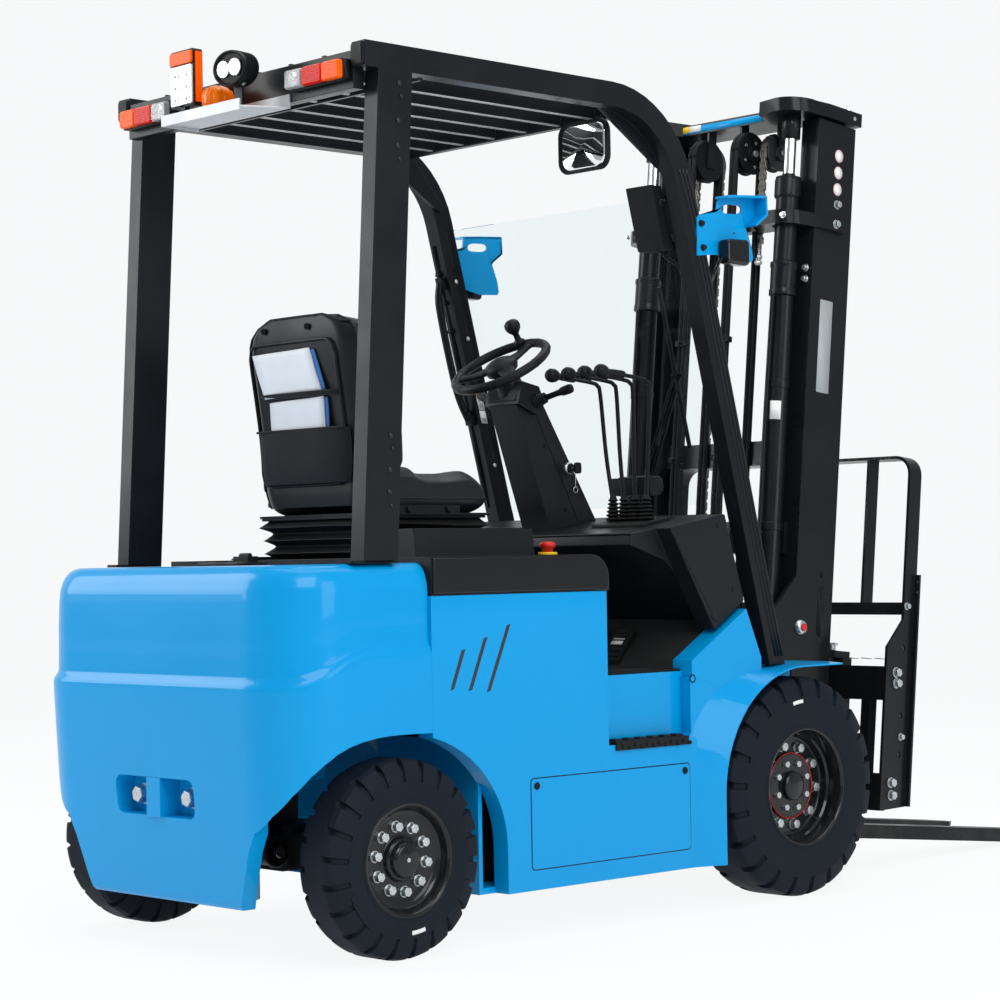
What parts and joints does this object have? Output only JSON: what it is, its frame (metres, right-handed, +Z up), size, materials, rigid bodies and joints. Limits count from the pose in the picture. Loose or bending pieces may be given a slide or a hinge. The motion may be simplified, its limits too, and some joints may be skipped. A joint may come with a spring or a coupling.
{
  "type": "electric counterbalance forklift",
  "caption": "Counterbalance forklift with a heavy rear body, overhead guard, open driver station, tilting two-stage mast, side shifter, load backrest and long tapered forks.",
  "frame": {"origin": "on the floor, under the middle of the bounding box of the parked vehicle with its forks down", "axes": "+X is the vehicle's right, +Y is forward along the forks, +Z is up"},
  "size_m": [1.1306, 3.353, 2.1901],
  "materials": {
    "body_paint": "glossy sky blue enamel",
    "battery_case": "matt grey steel tray",
    "hood_plastic": "grained black moulding",
    "bellows_rubber": "matt black",
    "seat_vinyl": "black grained vinyl",
    "step_plastic": "lugged black moulding",
    "mat_rubber": "ribbed black mat",
    "cowl_plastic": "grained dark grey moulding",
    "wheel_grip": "smooth black grip",
    "lever_plastic": "black knobs and boots",
    "guard_paint": "satin black enamel",
    "screen_glass": "clear laminated glass",
    "wiper_plastic": "satin black",
    "amber_lens": "clear amber dome",
    "lamp_metal": "finned black housing",
    "lamp_grey": "silver face with orange lens",
    "red_lens": "three-colour lens",
    "mirror_housing": "satin black",
    "bracket_paint": "glossy sky blue bracket, black lamp",
    "axle_paint": "black enamel",
    "tyre_rubber": "solid tyre on a dark painted rim",
    "mast_paint": "satin black enamel",
    "fork_paint": "black enamel over forged steel",
    "rod_chrome": "ground hard chrome",
    "chain_steel": "oiled leaf chain"
  },
  "bodies": {
    "chassis": {"frame": "body_paint", "counterweight": "body_paint", "battery": "battery_case", "step_left": "step_plastic", "step_right": "step_plastic", "floor_mat": "mat_rubber", "cowl": "cowl_plastic", "steering_column": "cowl_plastic", "control_levers": "lever_plastic", "pedals": "lever_plastic", "overhead_guard": "guard_paint", "windscreen": "screen_glass", "wiper": "wiper_plastic", "lamp_tray": "guard_paint", "beacon": "amber_lens", "work_lamp": "lamp_metal", "indicator_lamp": "lamp_grey", "tail_lamp_left": "red_lens", "tail_lamp_right": "red_lens", "mirror": "mirror_housing", "display": "mirror_housing", "grab_handle": "wiper_plastic", "headlamp_left": "bracket_paint", "headlamp_right": "bracket_paint", "drive_axle": "axle_paint", "steer_axle": "axle_paint"},
    "hood": {"hood": "hood_plastic", "seat_base": "bellows_rubber", "seat_cushion": "seat_vinyl", "seat_back": "seat_vinyl"},
    "steering_wheel": {"steering_wheel": "wheel_grip"},
    "front_wheel_left": {"front_wheel_left": "tyre_rubber"},
    "front_wheel_right": {"front_wheel_right": "tyre_rubber"},
    "knuckle_left": {"knuckle_left": "axle_paint"},
    "knuckle_right": {"knuckle_right": "axle_paint"},
    "rear_wheel_left": {"rear_wheel_left": "tyre_rubber"},
    "rear_wheel_right": {"rear_wheel_right": "tyre_rubber"},
    "mast": {"outer_mast": "mast_paint", "lift_cylinder_left": "mast_paint", "lift_cylinder_right": "mast_paint"},
    "inner_mast": {"inner_mast": "mast_paint", "lift_rod_left": "rod_chrome", "lift_rod_right": "rod_chrome", "lift_chain_left": "chain_steel", "lift_chain_right": "chain_steel"},
    "carriage": {"carriage": "mast_paint"},
    "side_shifter": {"side_shifter": "mast_paint", "load_backrest": "mast_paint", "fork_left": "fork_paint", "fork_right": "fork_paint"},
    "tilt_cylinder_left": {"tilt_cylinder_left": "mast_paint"},
    "tilt_cylinder_right": {"tilt_cylinder_right": "mast_paint"},
    "tilt_rod_left": {"tilt_rod_left": "rod_chrome"},
    "tilt_rod_right": {"tilt_rod_right": "rod_chrome"}
  },
  "joints": [
    {"name": "front_wheel_left_spin", "type": "hinge", "parent": "chassis", "child": "front_wheel_left", "pos_m": [-0.4575, 0.04646, 0.292], "axis": [1, 0, 0], "continuous": true},
    {"name": "front_wheel_right_spin", "type": "hinge", "parent": "chassis", "child": "front_wheel_right", "pos_m": [0.4575, 0.04646, 0.292], "axis": [1, 0, 0], "continuous": true},
    {"name": "steer_left", "type": "hinge", "parent": "chassis", "child": "knuckle_left", "pos_m": [-0.3995, -1.34354, 0.23], "axis": [0, 0, 1], "range_deg": [-70, 70]},
    {"name": "rear_wheel_left_spin", "type": "hinge", "parent": "knuckle_left", "child": "rear_wheel_left", "pos_m": [-0.4695, -1.34354, 0.23], "axis": [1, 0, 0], "continuous": true},
    {"name": "steer_right", "type": "hinge", "parent": "chassis", "child": "knuckle_right", "pos_m": [0.3995, -1.34354, 0.23], "axis": [0, 0, 1], "range_deg": [-70, 70]},
    {"name": "rear_wheel_right_spin", "type": "hinge", "parent": "knuckle_right", "child": "rear_wheel_right", "pos_m": [0.4695, -1.34354, 0.23], "axis": [1, 0, 0], "continuous": true},
    {"name": "steering_wheel_turn", "type": "hinge", "parent": "chassis", "child": "steering_wheel", "pos_m": [0, -0.53054, 1.42], "axis": [0, -0.515, 0.8572], "continuous": true},
    {"name": "hood_open", "type": "hinge", "parent": "chassis", "child": "hood", "pos_m": [0, -1.24054, 0.905], "axis": [1, 0, 0], "range_deg": [0, 60]},
    {"name": "mast_tilt", "type": "hinge", "parent": "chassis", "child": "mast", "pos_m": [0, 0.04646, 0.292], "axis": [1, 0, 0], "range_deg": [0, 16]},
    {"name": "inner_mast_lift", "type": "slide", "parent": "mast", "child": "inner_mast", "axis": [0, 0.1045, 0.9945], "range_m": [0, 1.5], "deforming": ["lift_chain_left", "lift_chain_right"]},
    {"name": "carriage_lift", "type": "slide", "parent": "inner_mast", "child": "carriage", "axis": [0, 0.1045, 0.9945], "range_m": [0, 1.5]},
    {"name": "side_shift", "type": "slide", "parent": "carriage", "child": "side_shifter", "axis": [1, 0, 0], "range_m": [-0.1, 0.1]},
    {"name": "tilt_cylinder_left_swing", "type": "hinge", "parent": "chassis", "child": "tilt_cylinder_left", "pos_m": [-0.302, -0.15354, 0.56], "axis": [1, 0, 0], "range_deg": [0, 14.9]},
    {"name": "tilt_rod_left_stroke", "type": "slide", "parent": "tilt_cylinder_left", "child": "tilt_rod_left", "axis": [0, 0.9065, 0.4221], "range_m": [-0.0943, 0]},
    {"name": "tilt_cylinder_right_swing", "type": "hinge", "parent": "chassis", "child": "tilt_cylinder_right", "pos_m": [0.302, -0.15354, 0.56], "axis": [1, 0, 0], "range_deg": [0, 14.9]},
    {"name": "tilt_rod_right_stroke", "type": "slide", "parent": "tilt_cylinder_right", "child": "tilt_rod_right", "axis": [0, 0.9065, 0.4221], "range_m": [-0.0943, 0]}
  ],
  "couplings": [
    {"joint": "steer_right", "follows": "steer_left", "ratio": 1},
    {"joint": "carriage_lift", "follows": "inner_mast_lift", "ratio": 1},
    {"joint": "tilt_cylinder_left_swing", "follows": "mast_tilt", "ratio": 0.9144},
    {"joint": "tilt_rod_left_stroke", "follows": "mast_tilt", "m_per_rad": -0.3323},
    {"joint": "tilt_cylinder_right_swing", "follows": "mast_tilt", "ratio": 0.9144},
    {"joint": "tilt_rod_right_stroke", "follows": "mast_tilt", "m_per_rad": -0.3323}
  ]
}
